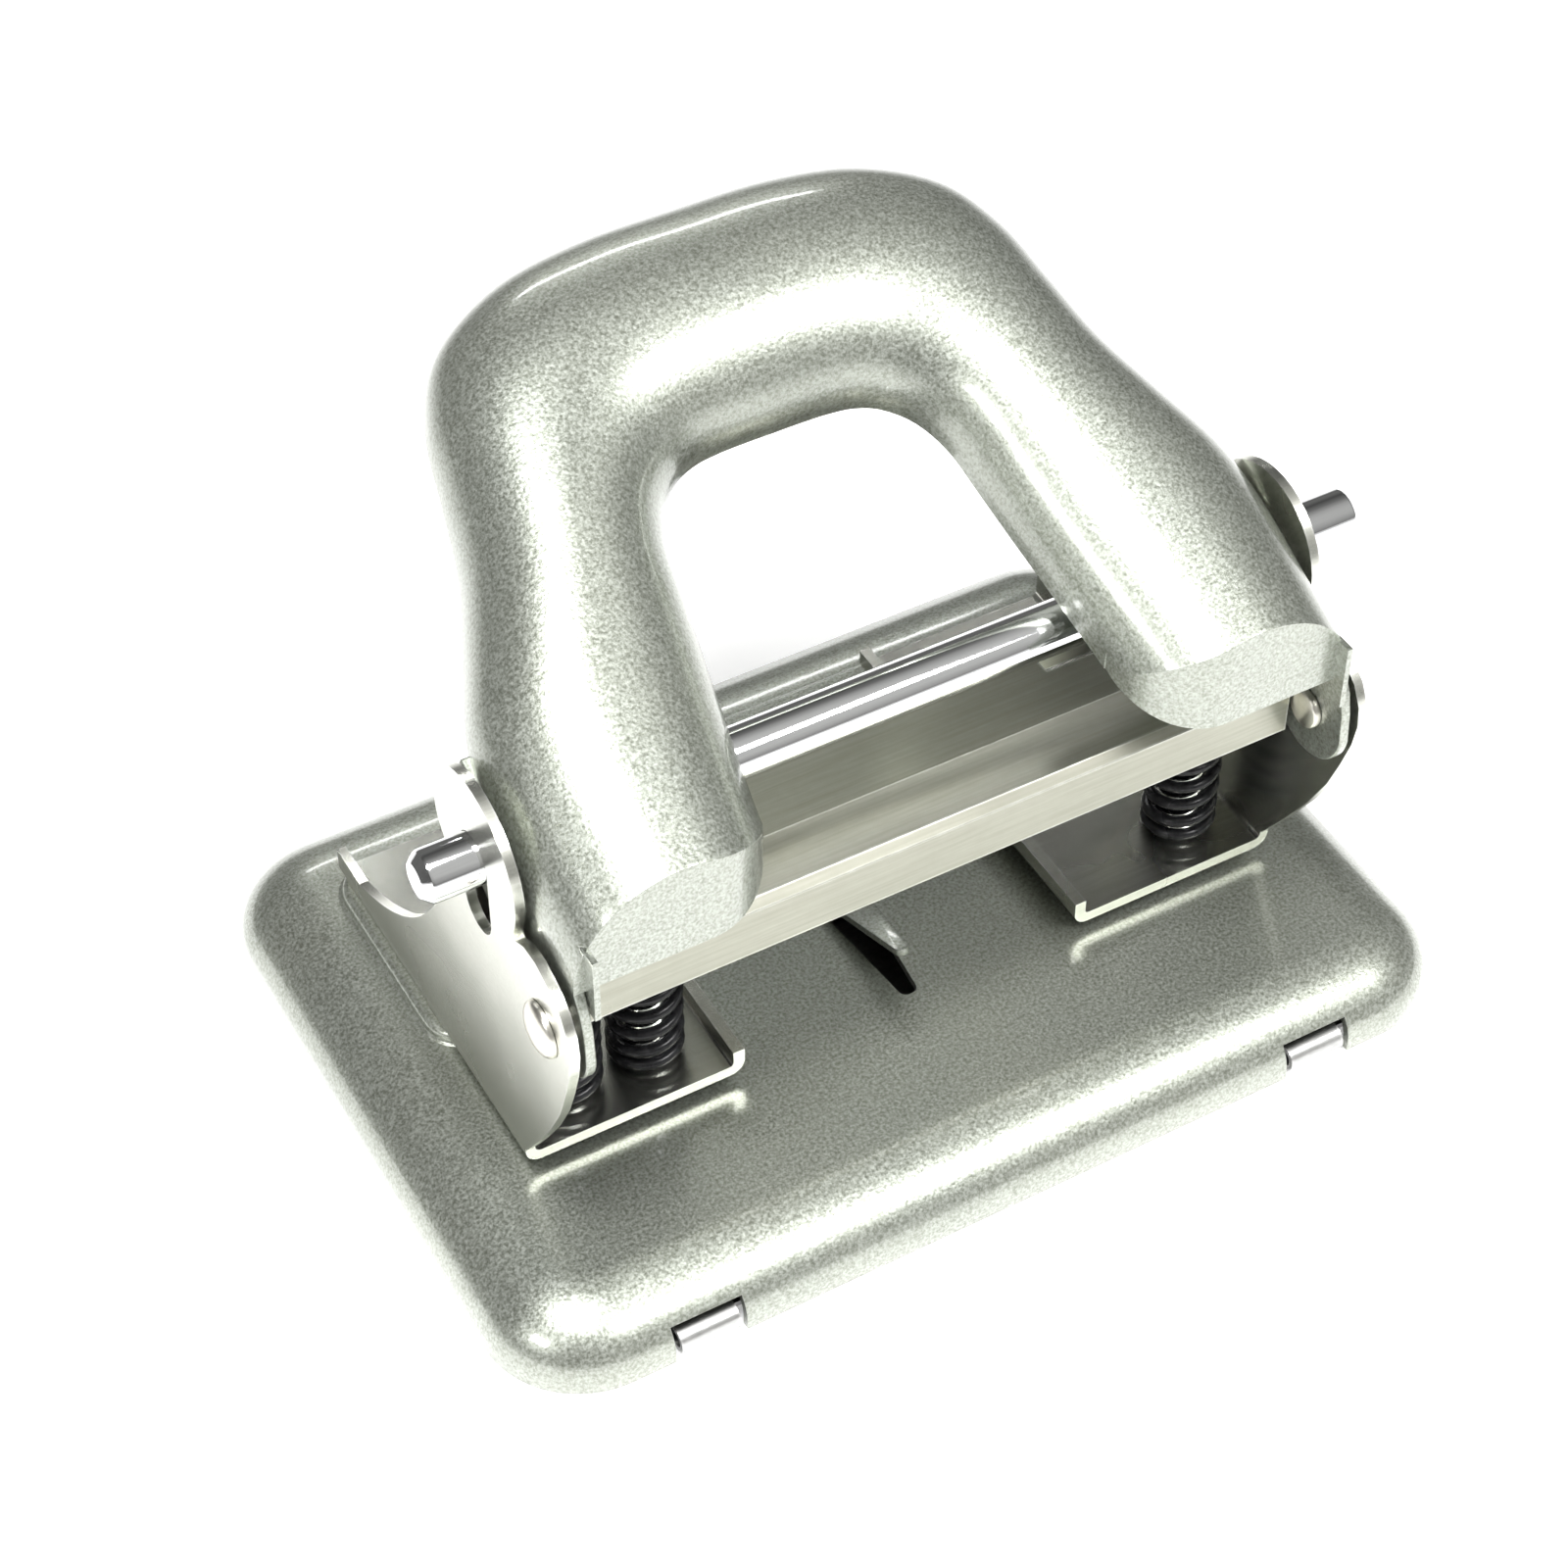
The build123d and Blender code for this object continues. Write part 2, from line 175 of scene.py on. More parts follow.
# %% Fleck: paint speckle
fleck, ends_in, ends_out = group("fleck", [("Size", 1.0), ("Contrast", 1.0)],
                                 ["Fleck", "Cloud", "Height"])
place = fleck.nodes.new("ShaderNodeTexCoord").outputs["Object"]
scale = math_node(fleck, "DIVIDE", 1000.0, ends_in.outputs["Size"])
fine = fleck.nodes.new("ShaderNodeTexNoise")
fine.inputs["Detail"].default_value = 4.0
fine.inputs["Roughness"].default_value = 0.68
coarse = fleck.nodes.new("ShaderNodeTexNoise")
coarse.inputs["Scale"].default_value = 55.0
coarse.inputs["Detail"].default_value = 2.0
cells = fleck.nodes.new("ShaderNodeTexVoronoi")
cells.feature = "SMOOTH_F1"
for node in (fine, coarse, cells):
    fleck.links.new(place, node.inputs["Vector"])
fleck.links.new(scale, fine.inputs["Scale"])
fleck.links.new(scale, cells.inputs["Scale"])
spread = math_node(fleck, "SUBTRACT", fine.outputs["Fac"], 0.5)
spread = math_node(fleck, "MULTIPLY", spread, ends_in.outputs["Contrast"])
spread = math_node(fleck, "MULTIPLY", spread, 3.2)
mask = math_node(fleck, "ADD", spread, 0.5, clamp=True)
relief = math_node(fleck, "ADD", cells.outputs["Distance"], fine.outputs["Fac"])
fleck.links.new(mask, ends_out.inputs["Fleck"])
fleck.links.new(coarse.outputs["Fac"], ends_out.inputs["Cloud"])
fleck.links.new(relief, ends_out.inputs["Height"])
print("fleck nodes:", len(fleck.nodes))

# %% Grain: fine lines along X
grain, ends_in, ends_out = group("grain", [("Length", 0.04), ("Fineness", 2200.0)],
                                 ["Lines", "Height"])
place = grain.nodes.new("ShaderNodeTexCoord").outputs["Object"]
stretch = grain.nodes.new("ShaderNodeVectorMath")
stretch.operation = "MULTIPLY"
factors = grain.nodes.new("ShaderNodeCombineXYZ")
along = math_node(grain, "MULTIPLY", ends_in.outputs["Length"], ends_in.outputs["Fineness"])
grain.links.new(along, factors.inputs["X"])
grain.links.new(ends_in.outputs["Fineness"], factors.inputs["Y"])
grain.links.new(ends_in.outputs["Fineness"], factors.inputs["Z"])
grain.links.new(place, stretch.inputs[0])
grain.links.new(factors.outputs[0], stretch.inputs[1])
lines = grain.nodes.new("ShaderNodeTexNoise")
lines.inputs["Scale"].default_value = 1.0
lines.inputs["Detail"].default_value = 3.0
grain.links.new(stretch.outputs[0], lines.inputs["Vector"])
grain.links.new(lines.outputs["Fac"], ends_out.inputs["Lines"])
grain.links.new(lines.outputs["Fac"], ends_out.inputs["Height"])
print("grain nodes:", len(grain.nodes))

# %% Worn edge: where the rounded normal leaves the true one
# A wide bevel normal is compared with the plain one; where they part, there is an edge.
wear, ends_in, ends_out = group("worn_edge", [("Width", 0.0005), ("Amount", 1.0)], ["Edge"])
rounded = wear.nodes.new("ShaderNodeBevel")
rounded.samples = 4
wear.links.new(ends_in.outputs["Width"], rounded.inputs["Radius"])
true = wear.nodes.new("ShaderNodeNewGeometry")
match = wear.nodes.new("ShaderNodeVectorMath")
match.operation = "DOT_PRODUCT"
wear.links.new(rounded.outputs["Normal"], match.inputs[0])
wear.links.new(true.outputs["Normal"], match.inputs[1])
gap = math_node(wear, "SUBTRACT", 1.0, match.outputs["Value"])
gap = math_node(wear, "MULTIPLY", gap, 9.0, clamp=True)
breakup = wear.nodes.new("ShaderNodeTexNoise")
breakup.inputs["Scale"].default_value = 600.0
spot = wear.nodes.new("ShaderNodeTexCoord")
wear.links.new(spot.outputs["Object"], breakup.inputs["Vector"])
gap = math_node(wear, "MULTIPLY", gap, math_node(wear, "MULTIPLY", breakup.outputs["Fac"], 1.7))
gap = math_node(wear, "MULTIPLY", gap, ends_in.outputs["Amount"], clamp=True)
wear.links.new(gap, ends_out.inputs["Edge"])
print("wear nodes:", len(wear.nodes))

# %% [markdown]
# ## Materials
# The paint is a metallic lacquer that wrinkles as it dries, so that tiny pale islands stand in a greener
# ground. A clear coat lies over it. The plated and bare steels differ in how rough, how dark and how grainy
# they are. Each one mixes two or three colours by the masks above, and none is a single flat colour.


# %% Material helpers
def finish(name, metallic):
    """A material with its tree and Principled shader."""
    made = bpy.data.materials.new(name)
    made.use_nodes = True
    shader = made.node_tree.nodes["Principled BSDF"]
    shader.inputs["Metallic"].default_value = metallic
    return made, made.node_tree, shader


def use(tree, shared, **values):
    """Places a shared group in a material, with its own values."""
    node = tree.nodes.new("ShaderNodeGroup")
    node.node_tree = shared
    for label, value in values.items():
        node.inputs[label].default_value = value
    return node


def blend(tree, mask, first, second):
    """Mixes two colours by a mask. Each colour is three numbers or a colour output."""
    mix = tree.nodes.new("ShaderNodeMix")
    mix.data_type = "RGBA"
    tree.links.new(mask, mix.inputs["Factor"])
    for socket, colour in ((mix.inputs[6], first), (mix.inputs[7], second)):
        if isinstance(colour, tuple):
            socket.default_value = (*colour, 1)
        else:
            tree.links.new(colour, socket)
    return mix.outputs[2]


def bump(tree, shader, height, depth, strength):
    """Feeds a height to the shader's normal, as real relief in metres."""
    node = tree.nodes.new("ShaderNodeBump")
    node.inputs["Distance"].default_value = depth
    node.inputs["Strength"].default_value = strength
    tree.links.new(height, node.inputs["Height"])
    tree.links.new(node.outputs["Normal"], shader.inputs["Normal"])


# %% Hammertone paint
paint, tree, shader = finish("hammertone_paint", 0.78)
speckle = use(tree, fleck, Size=0.38, Contrast=1.0)
colour = blend(tree, speckle.outputs["Fleck"], (0.17, 0.185, 0.15), (0.43, 0.455, 0.415))
warm = math_node(tree, "MULTIPLY", speckle.outputs["Cloud"], 0.22)
colour = blend(tree, warm, colour, (0.42, 0.42, 0.33))
tree.links.new(colour, shader.inputs["Base Color"])
rough = math_node(tree, "MULTIPLY", speckle.outputs["Fleck"], 0.14)
tree.links.new(math_node(tree, "ADD", rough, 0.30), shader.inputs["Roughness"])
bump(tree, shader, speckle.outputs["Height"], 0.00005, 0.35)
shader.inputs["Coat Weight"].default_value = 0.9
shader.inputs["Coat Roughness"].default_value = 0.1
print("paint nodes:", len(tree.nodes))


# %% Steels
def steel(name, dark, light, roughness, lines, wear_amount, relief):
    """Bare or plated steel: rolled lines, a dusty fleck and bright worn edges."""
    made, tree, shader = finish(name, 1.0)
    strokes = use(tree, grain, Length=lines, Fineness=2600.0)
    speckle = use(tree, fleck, Size=1.6, Contrast=0.5)
    colour = blend(tree, strokes.outputs["Lines"], dark, light)
    colour = blend(tree, math_node(tree, "MULTIPLY", speckle.outputs["Fleck"], 0.35), colour, dark)
    rubbed = use(tree, wear, Width=0.00045, Amount=wear_amount)
    colour = blend(tree, rubbed.outputs["Edge"], colour, (0.9, 0.9, 0.88))
    tree.links.new(colour, shader.inputs["Base Color"])
    uneven = math_node(tree, "MULTIPLY", speckle.outputs["Cloud"], roughness * 0.6)
    tree.links.new(math_node(tree, "ADD", uneven, roughness * 0.7), shader.inputs["Roughness"])
    bump(tree, shader, strokes.outputs["Height"], 0.00002, relief)
    return made


steel_rows = [  # name, dark and light colour, roughness, line length, wear, relief
    ("satin_plate", (0.52, 0.525, 0.465), (0.76, 0.765, 0.71), 0.26, 0.05, 0.5, 0.15),
    ("dull_steel", (0.25, 0.25, 0.205), (0.38, 0.38, 0.325), 0.30, 0.04, 0.8, 0.15),
    ("plated_sheet", (0.36, 0.36, 0.355), (0.60, 0.60, 0.59), 0.38, 0.5, 0.7, 0.6),
    ("bright_rivet", (0.60, 0.58, 0.51), (0.82, 0.80, 0.73), 0.34, 0.6, 0.0, 0.15),
    ("polished_rod", (0.74, 0.75, 0.76), (0.9, 0.9, 0.91), 0.07, 0.02, 0.1, 0.03),
]
finishes = {"hammertone_paint": paint}
finishes.update((row[0], steel(*row)) for row in steel_rows)
print("steels:", len(steel_rows))

# %% Black springs
black, tree, shader = finish("black_spring", 0.0)
speckle = use(tree, fleck, Size=1.0, Contrast=0.8)
colour = blend(tree, speckle.outputs["Fleck"], (0.006, 0.006, 0.007), (0.022, 0.022, 0.024))
tree.links.new(colour, shader.inputs["Base Color"])
uneven = math_node(tree, "MULTIPLY", speckle.outputs["Cloud"], 0.2)
tree.links.new(math_node(tree, "ADD", uneven, 0.16), shader.inputs["Roughness"])
shader.inputs["Specular IOR Level"].default_value = 0.3
finishes["black_spring"] = black
print("finishes:", len(finishes))

# %% [markdown]
# ## Finishes for the CAD pieces
# The record names a slot for each CAD piece, so a loop gives each its finish. Pieces that are remodelled
# below are hidden again when their stand-ins are made.

# %% Give every CAD piece its finish
slots = {entry["node"]: entry["material_slot"] for entry in frame["record"]["subparts"]}
for name, thing in frame["nodes"].items():
    thing.data.materials.clear()
    thing.data.materials.append(finishes[slots[name]])
print("CAD pieces finished:", len(slots))

# %% [markdown]
# ## Tools for making pieces
# Each piece is made in a bmesh with Blender's own operators, then handed to one helper that links it, shades
# it, gives its finish and says which body it moves with. Other helpers cut with a Boolean, pull an outline
# out to a thickness, drill a hole and round the edges. Sizes are in mm, and MM turns them into metres.


# %% Piece helpers
def to_object(name, bm):
    """Ends a bmesh as an object at the origin."""
    mesh = bpy.data.meshes.new(name)
    bm.to_mesh(mesh)
    bm.free()
    thing = bpy.data.objects.new(name, mesh)
    bpy.context.collection.objects.link(thing)
    return thing


def solid(name, build, *sizes):
    """A new object from one of the builders below, such as block or cylinder."""
    bm = bmesh.new()
    build(bm, *sizes)
    return to_object(name, bm)


def settle(thing):
    """Turns an object's modifiers into plain mesh."""
    evaluated = thing.evaluated_get(bpy.context.evaluated_depsgraph_get())
    made = bpy.data.meshes.new_from_object(evaluated)
    old = thing.data
    thing.modifiers.clear()
    thing.data = made
    bpy.data.meshes.remove(old)


def cut(thing, tool, how="DIFFERENCE"):
    """Cuts, joins or keeps the overlap of two solids. The tool is used up."""
    step = thing.modifiers.new("cut", "BOOLEAN")
    step.operation, step.object, step.solver = how, tool, "EXACT"
    settle(thing)
    bpy.data.objects.remove(tool)


def hand_over(thing, body, slot, *nodes, sharp=35, weighted=False):
    """Shades a finished piece, gives its material, and says what it rides on and stands for."""
    if weighted:
        even = thing.modifiers.new("even_faces", "WEIGHTED_NORMAL")
        even.keep_sharp = True
    for face in thing.data.polygons:
        face.use_smooth = True
    thing.data.set_sharp_from_angle(angle=math.radians(sharp))
    thing.data.materials.clear()
    thing.data.materials.append(finishes[slot])
    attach(thing, body)
    if nodes:
        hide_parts(*nodes)
    print(thing.name, "faces:", len(thing.data.polygons))


def block(bm, low, high):
    """A box between two corners, in mm."""
    low, high = Vector(low) * MM, Vector(high) * MM
    place = Matrix.Translation((low + high) / 2) @ Matrix.Diagonal((*(high - low), 1))
    return bmesh.ops.create_cube(bm, size=1, matrix=place)["verts"]


def bevel(bm, edges, offset, segments):
    """A rounded bevel, in mm."""
    bmesh.ops.bevel(bm, geom=edges, offset=offset * MM, offset_type="OFFSET", segments=segments,
                    profile=0.5, affect="EDGES", clamp_overlap=True, material=-1)


def round_edges(thing, width, segments, degrees, harden=False):
    """A fine bevel, as a modifier, on every edge sharper than an angle."""
    edges = thing.modifiers.new("edges", "BEVEL")
    edges.width, edges.segments, edges.limit_method = width * MM, segments, "ANGLE"
    edges.angle_limit, edges.harden_normals = math.radians(degrees), harden


def pull(bm, corners, move):
    """Fills an outline of 3-D points in mm and pulls it out by a distance in mm."""
    face = bm.faces.new([bm.verts.new(Vector(corner) * MM) for corner in corners])
    pulled = bmesh.ops.extrude_face_region(bm, geom=[face])["geom"]
    moved = [g for g in pulled if isinstance(g, bmesh.types.BMVert)]
    bmesh.ops.translate(bm, verts=moved, vec=tuple(m * MM for m in move))
    bmesh.ops.recalc_face_normals(bm, faces=bm.faces)


def drill(bm, x, z, radius, depth, segments):
    """An upright cylinder on a punch pin's axis, to cut a hole with."""
    bmesh.ops.create_cone(bm, cap_ends=True, segments=segments, radius1=radius * MM, radius2=radius * MM,
                          depth=depth * MM, matrix=Matrix.Translation(Vector((x, pin_y, z)) * MM))


def top_face(bm):
    """The highest face of a bmesh."""
    return max(bm.faces, key=lambda f: f.calc_center_median().z)


def upright(edge):
    """True for an edge that runs along Z."""
    return abs((edge.verts[0].co - edge.verts[1].co).normalized().z) > 0.99


pin_y = -11.25
pin_x = {"left_outer": -40.0, "left_inner": -30.0, "right": 40.0}
print("punch pins:", len(pin_x))

# %% [markdown]
# ## Handle
# The handle is pressed from one sheet into a half tube that is bent into a U. Its section is half an ellipse
# all the way. So the shell is a row of flattened circles laid along the U and bridged, one half only, with
# the other half mirrored. The tube runs on past the front, and is cut there by an upright tool with a rounded
# inner corner, which gives the square front end with its soft crease. The bottom is opened, the sheet gets
# its thickness, and a narrow slit parts each front wall from the side that runs down as the tongue.

# %% Handle plane and stations
tilt = math.radians(26.4)
upslope = Vector((0, math.cos(tilt), math.sin(tilt)))
normal = Vector((0, -math.sin(tilt), math.cos(tilt)))
rim_start = Vector((0, -29.2, 46.7))
crown, sheet = 10.3, 1.2
ring_segments, rings_per_station = 56, 6
stations = [  # outer rim (u, v), inner rim (u, v)
    ((46.2, -14.0), (22.2, -14.0)), ((46.2, -2.0), (21.8, -2.0)), ((46.2, 9.0), (21.2, 9.0)),
    ((46.1, 19.5), (19.8, 19.5)), ((44.9, 27.5), (18.7, 27.0)), ((41.6, 35.5), (17.8, 33.5)),
    ((38.2, 43.8), (17.0, 38.8)), ((36.2, 52.5), (15.2, 43.0)), ((34.4, 60.3), (12.4, 45.8)),
    ((30.2, 67.5), (9.6, 47.0)), ((21.8, 72.4), (6.6, 47.4)), ((11.5, 74.3), (3.4, 47.5)),
    ((0.0, 74.5), (0.0, 47.5)),
]


def glide(row, position):
    """A smooth value through a row of 2-D points, at a position counted in points."""
    first = min(int(position), len(row) - 2)
    f = position - first
    b, c = Vector(row[first]), Vector(row[first + 1])
    a = Vector(row[first - 1]) if first else 2 * b - c
    # Past the last point the row goes on as its own mirror image, which keeps the middle of the grip smooth.
    d = Vector(row[first + 2]) if first + 2 < len(row) else Vector((-row[-2][0], row[-2][1]))
    square, cube = 2 * a - 5 * b + 4 * c - d, 3 * b - a - 3 * c + d
    return 0.5 * (2 * b + (c - a) * f + square * f * f + cube * f ** 3)


print("stations:", len(stations))

# %% Loft one half of the handle
bm = bmesh.new()
outer_row, inner_row = [s[0] for s in stations], [s[1] for s in stations]
last_ring = None
for step in range(rings_per_station * (len(stations) - 1) + 1):
    position = step / rings_per_station
    outer, inner = glide(outer_row, position), glide(inner_row, position)
    across, middle = (outer - inner) / 2, (outer + inner) / 2
    ring = bmesh.ops.create_circle(bm, segments=ring_segments, radius=1.0)["verts"]
    for v in ring:
        v.co = Vector((v.co.x, max(v.co.y, 0.0), 0.0))
    side = Vector((across.x, 0, 0)) + upslope * across.y
    place = Matrix((side, normal * crown, side.cross(normal))).transposed() * MM
    centre = (rim_start + Vector((middle.x, 0, 0)) + upslope * middle.y) * MM
    bmesh.ops.transform(bm, matrix=Matrix.Translation(centre) @ place.to_4x4(), verts=ring)
    edges = list({e for v in ring for e in v.link_edges})
    if last_ring:
        bmesh.ops.bridge_loops(bm, edges=last_ring + edges)
    else:
        bmesh.ops.contextual_create(bm, geom=edges)
    last_ring = edges
bmesh.ops.contextual_create(bm, geom=last_ring)
bmesh.ops.recalc_face_normals(bm, faces=bm.faces)
shell = to_object("handle_shell", bm)
print("half handle faces:", len(shell.data.polygons))

# %% Trim the front
front_y, inner_x, corner = -29.2, 21.2, 9.4
tool = solid("front_tool", block, (5, -70, 20), (70, front_y + corner, 90))
bm = bmesh.new()
block(bm, (inner_x, front_y, 10), (80, 10, 100))
near = [e for e in bm.edges if upright(e) and e.verts[0].co.x < 30 * MM and e.verts[0].co.y < 0]
bevel(bm, near, corner, 14)
cut(tool, to_object("leg_block", bm))
cut(shell, tool)
print("trimmed faces:", len(shell.data.polygons))

# %% Open the underside, soften the crease and mirror
bm = bmesh.new()
bm.from_mesh(shell.data)
bmesh.ops.remove_doubles(bm, verts=bm.verts, dist=0.01 * MM)
front_slack, corner_slack, rim_slack = 0.03, 0.08, 0.02
crease_angle, crease_above_rim = 0.45, 0.4


def height(v):
    """Height of a vertex over the rim plane, in mm."""
    return (v.co / MM - rim_start).dot(normal)


def on_front(v):
    """True for a vertex on the upright front wall or its rounded corner."""
    x, y = v.co.x / MM, v.co.y / MM
    round_x, round_y = inner_x + corner, front_y + corner
    off_arc = abs(math.hypot(x - round_x, y - round_y) - corner)
    return y < front_y + front_slack or (x < round_x and y < round_y and off_arc < corner_slack)


bottom = [f for f in bm.faces
          if all(height(v) < rim_slack for v in f.verts) and abs(f.normal.dot(normal)) > 0.9]
middle_cap = [f for f in bm.faces if all(abs(v.co.x) < 0.001 * MM for v in f.verts)]
bmesh.ops.delete(bm, geom=bottom + middle_cap, context="FACES")
crease = [e for e in bm.edges if len(e.link_faces) == 2 and e.calc_face_angle(0) > crease_angle
          and all(on_front(v) for v in e.verts) and min(height(v) for v in e.verts) > crease_above_rim]
bevel(bm, crease, 2.0, 5)
for v in bm.verts:
    if abs(v.co.x) < 0.002 * MM:
        v.co.x = 0.0
bmesh.ops.mirror(bm, geom=bm.verts[:] + bm.edges[:] + bm.faces[:], merge_dist=0.005 * MM, axis="X")
bmesh.ops.recalc_face_normals(bm, faces=bm.faces)
if top_face(bm).normal.z < 0:
    bmesh.ops.reverse_faces(bm, faces=bm.faces)
bm.to_mesh(shell.data)
bm.free()
wall = shell.modifiers.new("sheet", "SOLIDIFY")
wall.thickness, wall.offset = sheet * MM, -1
wall.use_even_offset = True
settle(shell)
print("crease edges:", len(crease))

# %% Slit at the front corners, and flat front walls
slit_inner, slit_outer = 44.2, 44.85
for side in (-1, 1):
    x_low, x_high = sorted((side * slit_inner, side * slit_outer))
    cut(shell, solid("corner_slit", block, (x_low, -31, 44), (x_high, -27.6, 52.3)))
facing_front = -0.9995
bm = bmesh.new()
bm.from_mesh(shell.data)
bmesh.ops.remove_doubles(bm, verts=bm.verts, dist=0.002 * MM)
bmesh.ops.triangulate(bm, faces=[f for f in bm.faces if f.normal.y < facing_front])
bm.to_mesh(shell.data)
bm.free()
hand_over(shell, "handle", "hammertone_paint", "handle", sharp=50)
for face in shell.data.polygons:
    face.use_smooth = face.normal.y > facing_front

# %% [markdown]
# ## Tongues of the handle
# On each side, the same sheet runs down as a flat tongue. It hangs on the rivet and holds the rod in a
# slanted slot. An outline is filled and pulled out to the sheet's thickness, then the two holes are cut.


# %% Tongues
def side_outline(bm, points, x0, x1):
    """A flat plate between two X values, from a (y, z) outline in mm."""
    pull(bm, [(x0, y, z) for y, z in points], (x1 - x0, 0, 0))


def arc(centre, radius, start, end, count):
    """Points round an arc in the (y, z) plane, in mm and degrees."""
    angles = [math.radians(start + (end - start) * i / (count - 1)) for i in range(count)]
    return [(centre[0] + radius * math.cos(a), centre[1] + radius * math.sin(a)) for a in angles]


def cylinder(bm, centre, radius, x0, x1):
    """A solid cylinder along X."""
    place = Matrix.Translation(Vector(((x0 + x1) / 2, *centre)) * MM) @ Matrix.Rotation(math.pi / 2, 4, "Y")
    bmesh.ops.create_cone(bm, cap_ends=True, segments=40, radius1=radius * MM, radius2=radius * MM,
                          depth=(x1 - x0) * MM, matrix=place)


pivot, rod_at = (-25.3, 39.0), (pin_y, 50.7)
rod_end = (-13.95, 48.38)  # where the rod ends up in the tongue when the handle is down
slot_radius, slot_lean, rivet_hole = 3.35, 130.6, 2.1
slot_points = arc(rod_end, slot_radius, slot_lean, slot_lean + 180, 14)
slot_points += arc(rod_at, slot_radius, slot_lean + 180, slot_lean + 360, 14)
tongue_points = [(-30.9, 42.0)] + arc((-25.3, 38.6), 5.9, 185, 325, 16) + [(-8.0, 42.8)]
tongue_points += arc((-10.25, 50.1), 8.4, -40, 20, 8)
tongue_points += [(-5.5, 58.6), (-12.0, 55.5), (-28.9, 47.1), (-29.3, 46.6), (-30.3, 44.6)]
for side in (-1, 1):
    tongue_name = "handle_tongue_" + ("left" if side < 0 else "right")
    tongue = solid(tongue_name, side_outline, tongue_points, side * 45.0, side * 46.15)
    ends = sorted((side * 44.0, side * 47.0))
    cut(tongue, solid("pivot_drill", cylinder, pivot, rivet_hole, *ends))
    cut(tongue, solid("slot_tool", side_outline, slot_points, *ends))
    round_edges(tongue, 0.2, 2, 40)
    hand_over(tongue, "handle", "hammertone_paint")

# %% [markdown]
# ## Base
# The base is a shallow pressed tray with wide, soft shoulders. A box with rounded corners gets its shoulders
# from repeated insets of its top face: each inset goes in less and up more than the one before, so they trace
# a quarter of an ellipse. The raised rear part is a second solid joined on, and its foot is rounded.

# %% Tray shoulders and raised part
half_x, half_y, corner_radius = 60.0, 42.5, 11.8
low_z, top_z, shoulder = 1.4, 8.0, 9.6
bm = bmesh.new()
block(bm, (-half_x, -half_y, 0), (half_x, half_y, low_z))
bevel(bm, [e for e in bm.edges if upright(e)], corner_radius, 16)
top = top_face(bm)
rings = 12
for ring in range(rings):
    a, b = (math.pi / 2 * (ring + k) / rings for k in (0, 1))
    inward = shoulder * (math.cos(a) - math.cos(b))
    upward = (top_z - low_z) * (math.sin(b) - math.sin(a))
    bmesh.ops.inset_region(bm, faces=[top], thickness=inward * MM, use_even_offset=True)
    bmesh.ops.translate(bm, verts=top.verts, vec=(0, 0, upward * MM))
base = to_object("base_shell", bm)

plateau_top, foot_angle = 9.5, 0.8
bm = bmesh.new()
block(bm, (-49.0, 0.8, 4), (49.0, 31.6, plateau_top))
bevel(bm, [e for e in bm.edges if upright(e)], 5.0, 8)
bevel(bm, list(top_face(bm).edges), 0.9, 5)
cut(base, to_object("raised_part", bm), "UNION")
bm = bmesh.new()
bm.from_mesh(base.data)
foot = [e for e in bm.edges if len(e.link_faces) == 2 and not e.is_convex
        and e.calc_face_angle(0) > foot_angle
        and all(abs(v.co.z - top_z * MM) < 0.02 * MM for v in e.verts)]
bevel(bm, foot, 0.55, 4)
under = [f for f in bm.faces if f.normal.z < -0.9]
bmesh.ops.delete(bm, geom=under, context="FACES")
bm.to_mesh(base.data)
bm.free()
print("foot edges:", len(foot), "underside faces:", len(under))

# %% Wall, slots and holes
wall = base.modifiers.new("sheet", "SOLIDIFY")
wall.thickness, wall.offset = 1.0 * MM, -1
settle(base)
lug_x, lug_half, lug_gap = 38.9, 3.5, 0.75
lug_slot_back, lug_slot_top, die_hole = -38.4, 4.6, 4.4
for side in (-1, 1):
    low = (side * lug_x - lug_half - lug_gap, -46, -1)
    high = (side * lug_x + lug_half + lug_gap, lug_slot_back, lug_slot_top)
    cut(base, solid("lug_slot", block, low, high))
for x in pin_x.values():
    cut(base, solid("die_hole", drill, x, 8, die_hole, 6, 40))
print("base faces:", len(base.data.polygons))

# %% [markdown]
# ## Centre pointer
# The pointer is a pointed tongue cut on three sides in the base and bent up, so that a matching slot stays in
# the base below it. The slot is cut with a tapered block. The tongue is the same outline, a little smaller,
# as thick as the sheet and turned up about its root.


# %% Pointer slot and tongue
def taper(bm, low_z, high_z, root, tip, half_root, half_tip, middle):
    """A tapered block that lies along Y, with rounded tip corners."""
    corners = [(middle - half_root, root), (middle - half_tip, tip),
               (middle + half_tip, tip), (middle + half_root, root)]
    pull(bm, [(x, y, low_z) for x, y in corners], (0, 0, high_z - low_z))
    tips = [e for e in bm.edges if upright(e) and e.verts[0].co.y < (tip + 1) * MM]
    bevel(bm, tips, half_tip * 0.8, 4)


cut(base, solid("pointer_slot", taper, 3, 12, 1.6, -16.6, 2.9, 1.0, 0.8))
round_edges(base, 0.16, 2, 55)
hand_over(base, "frame", "hammertone_paint", "base_tray", sharp=40, weighted=True)
bm = bmesh.new()
taper(bm, 0, 0.9, 0.6, -15.6, 2.6, 0.8, 0.8)
root = Vector((0, 0.8, 0)) * MM
lean = Matrix.Rotation(math.radians(-15), 4, "X")
lift = Matrix.Translation((0, 0, 8.6 * MM)) @ Matrix.Translation(root) @ lean
bmesh.ops.transform(bm, matrix=lift @ Matrix.Translation(-root), verts=bm.verts)
bevel(bm, [e for e in bm.edges if e.calc_face_angle(0) > 0.6], 0.12, 2)
pointer = to_object("centre_pointer", bm)
hand_over(pointer, "frame", "hammertone_paint")

